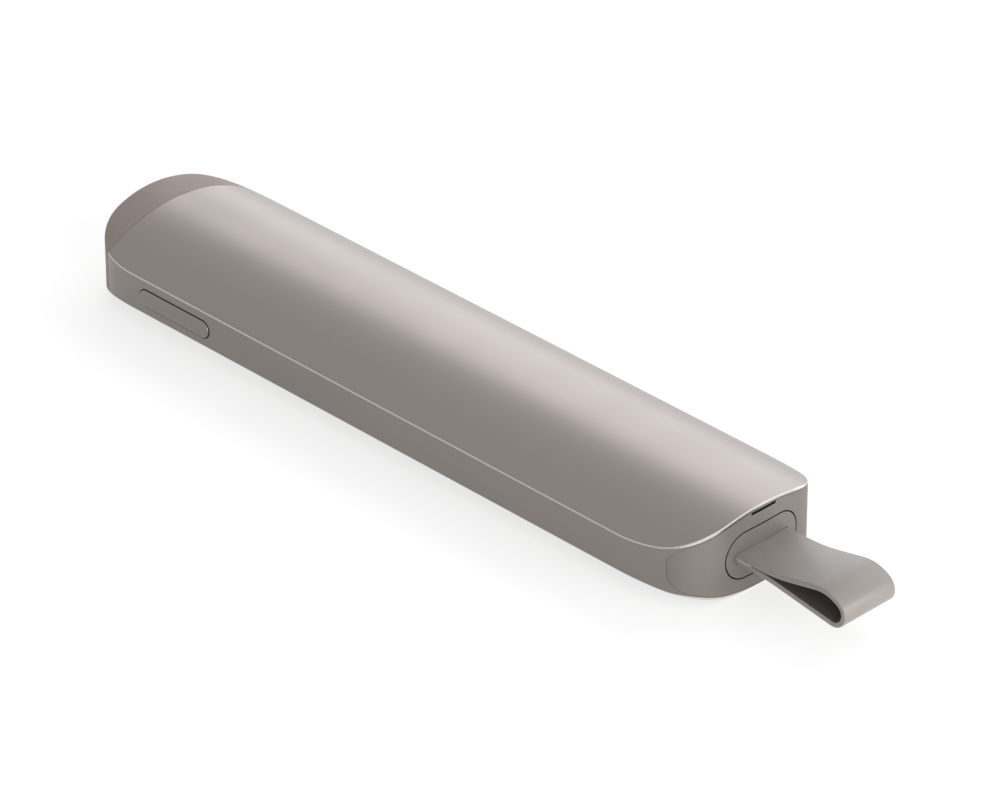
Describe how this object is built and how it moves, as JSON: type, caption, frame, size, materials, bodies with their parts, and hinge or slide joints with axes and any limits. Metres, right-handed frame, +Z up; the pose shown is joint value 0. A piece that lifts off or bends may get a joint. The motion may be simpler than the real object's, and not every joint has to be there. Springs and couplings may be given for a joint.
{
  "type": "presentation clicker",
  "caption": "Slim hand-held presentation clicker: domed metal sleeve, side button, thumb buttons below, and a strap-pulled USB receiver stowed in the tail.",
  "frame": {"origin": "centre of the body, on the flat land that the clicker rests on", "axes": "+X along the body to the tail and its strap, -Y the side with the side button, +Z up through the domed back"},
  "size_m": [0.1416, 0.0292, 0.0127],
  "materials": {
    "anodised_sleeve": "satin anodised, warm greige",
    "cap_plastic": "fine matte moulded, warm greige",
    "button_plastic": "soft-touch matte, warm greige",
    "strap_elastomer": "smooth matte elastomer band",
    "inner_plastic": "fine matte black moulded",
    "smoked_window": "polished smoked window",
    "light_guide_plastic": "dark translucent light guide",
    "board_laminate": "solder-masked laminate",
    "chip_resin": "moulded chip resin",
    "plated_steel": "bright plated sheet",
    "brass": "turned brass",
    "gold_contacts": "gold-plated contacts",
    "battery_foil": "pouch cell foil",
    "adhesive_foam": "thin foam tape",
    "flex_film": "amber flex film",
    "led_resin": "clear LED resin",
    "switch_steel": "stamped switch frame",
    "ceramic_antenna": "glazed ceramic block"
  },
  "bodies": {
    "housing": {"back_switch": "switch_steel", "battery": "battery_foil", "battery_pad": "adhesive_foam", "battery_tabs": "plated_steel", "board_screws": "plated_steel", "charging_socket": "plated_steel", "chip_antenna": "ceramic_antenna", "dock_screws": "plated_steel", "inner_frame": "inner_plastic", "laser_module": "brass", "laser_window": "smoked_window", "main_board": "board_laminate", "next_switch": "switch_steel", "nose_cap": "cap_plastic", "outer_shell": "anodised_sleeve", "pointer_switch": "switch_steel", "radio_chip": "chip_resin", "radio_shield": "plated_steel", "receiver_catches": "plated_steel", "receiver_dock": "inner_plastic", "side_switch": "switch_steel", "socket_tongue": "inner_plastic", "status_led": "led_resin", "status_light_guide": "light_guide_plastic", "tail_cap": "cap_plastic", "tail_flex": "flex_film", "vibration_motor": "plated_steel"},
    "receiver": {"receiver_cap": "cap_plastic", "receiver_core": "inner_plastic", "usb_plug_shell": "plated_steel", "usb_plug_tongue": "inner_plastic", "usb_contacts": "gold_contacts", "receiver_board": "board_laminate", "wrist_strap": "strap_elastomer", "strap_pin": "plated_steel"},
    "side_button": {"side_button": "anodised_sleeve"},
    "pointer_button": {"pointer_button": "button_plastic"},
    "next_button": {"next_button": "button_plastic"},
    "back_button": {"back_button": "button_plastic"}
  },
  "joints": [
    {"name": "receiver_slide", "type": "slide", "parent": "housing", "child": "receiver", "axis": [1, 0, 0], "range_m": [0, 0.028]},
    {"name": "side_button_press", "type": "slide", "parent": "housing", "child": "side_button", "axis": [0, 1, 0], "range_m": [0, 0.00035], "stiffness_N_per_m": 3000, "springref_m": -0.0001},
    {"name": "pointer_button_press", "type": "slide", "parent": "housing", "child": "pointer_button", "axis": [0, 0, 1], "range_m": [0, 0.00035], "stiffness_N_per_m": 3000, "springref_m": -0.0001},
    {"name": "next_button_press", "type": "slide", "parent": "housing", "child": "next_button", "axis": [0, 0, 1], "range_m": [0, 0.00035], "stiffness_N_per_m": 3000, "springref_m": -0.0001},
    {"name": "back_button_press", "type": "slide", "parent": "housing", "child": "back_button", "axis": [0, 0, 1], "range_m": [0, 0.00035], "stiffness_N_per_m": 3000, "springref_m": -0.0001}
  ]
}
